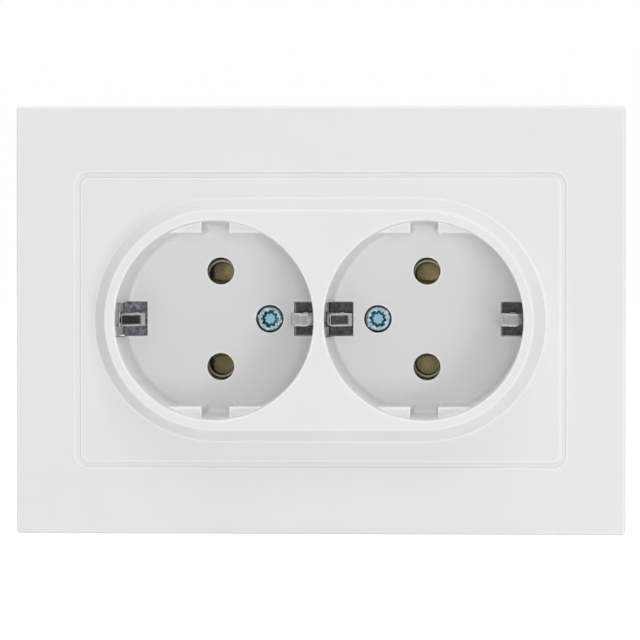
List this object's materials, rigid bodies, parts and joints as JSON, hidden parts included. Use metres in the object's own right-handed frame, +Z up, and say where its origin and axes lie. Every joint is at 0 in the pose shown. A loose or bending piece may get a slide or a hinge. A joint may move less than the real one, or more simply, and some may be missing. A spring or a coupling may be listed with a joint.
{
  "type": "double wall socket",
  "caption": "Flush double earthed wall socket: framed panel with a raised stadium rim, two round plug recesses with side earth clips, and a box-mounted contact block with spreading claws.",
  "frame": {"origin": "centre of the socket on the wall plane", "axes": "+X along the socket to the right, +Z up, the front faces -Y"},
  "size_m": [0.1196, 0.043, 0.084],
  "materials": {
    "white_plastic": "smooth white moulding, satin gloss",
    "grey_plastic": "plain grey moulding",
    "zinc_steel": "zinc-plated sheet steel",
    "blue_zinc": "bluish zinc plating",
    "nickel_plate": "nickel-plated spring sheet",
    "brass": "bare spring brass"
  },
  "bodies": {
    "socket": {"frame": "white_plastic", "socket_cover": "white_plastic", "base": "grey_plastic", "rear_cover": "grey_plastic", "support_plate": "zinc_steel", "upper_claw_pin": "zinc_steel", "lower_claw_pin": "zinc_steel", "earth_rivets": "zinc_steel", "cover_screws": "blue_zinc", "rear_cover_screws": "blue_zinc", "earth_clip_left_outer": "nickel_plate", "earth_clip_left_inner": "nickel_plate", "earth_clip_right_inner": "nickel_plate", "earth_clip_right_outer": "nickel_plate", "line_bar": "brass", "neutral_bar": "brass", "line_terminal": "brass", "neutral_terminal": "brass", "earth_terminal": "brass"},
    "line_screw": {"line_terminal_screw": "blue_zinc"},
    "neutral_screw": {"neutral_terminal_screw": "blue_zinc"},
    "earth_screw": {"earth_terminal_screw": "blue_zinc"},
    "upper_claw": {"upper_claw": "zinc_steel"},
    "upper_claw_screw": {"upper_claw_screw": "blue_zinc"},
    "lower_claw": {"lower_claw": "zinc_steel"},
    "lower_claw_screw": {"lower_claw_screw": "blue_zinc"}
  },
  "joints": [
    {"name": "line_screw_travel", "type": "slide", "parent": "socket", "child": "line_screw", "axis": [0, 0, -1], "range_m": [0, 0.0026]},
    {"name": "neutral_screw_travel", "type": "slide", "parent": "socket", "child": "neutral_screw", "axis": [0, 0, 1], "range_m": [0, 0.0026]},
    {"name": "earth_screw_travel", "type": "slide", "parent": "socket", "child": "earth_screw", "axis": [1, 0, 0], "range_m": [0, 0.0026]},
    {"name": "upper_claw_screw_turn", "type": "hinge", "parent": "socket", "child": "upper_claw_screw", "pos_m": [0.0085, 0, 0.0226], "axis": [0, 1, 0], "range_deg": [0, 1480]},
    {"name": "upper_claw_swing", "type": "hinge", "parent": "socket", "child": "upper_claw", "pos_m": [0.0085, 0.0052, 0.0182], "axis": [1, 0, 0], "range_deg": [0, 25]},
    {"name": "lower_claw_screw_turn", "type": "hinge", "parent": "socket", "child": "lower_claw_screw", "pos_m": [-0.0085, 0, -0.0226], "axis": [0, 1, 0], "range_deg": [0, 1480]},
    {"name": "lower_claw_swing", "type": "hinge", "parent": "socket", "child": "lower_claw", "pos_m": [-0.0085, 0.0052, -0.0182], "axis": [-1, 0, 0], "range_deg": [0, 25]}
  ],
  "couplings": [
    {"joint": "upper_claw_swing", "follows": "upper_claw_screw_turn", "ratio": 0.01689},
    {"joint": "lower_claw_swing", "follows": "lower_claw_screw_turn", "ratio": 0.01689}
  ]
}
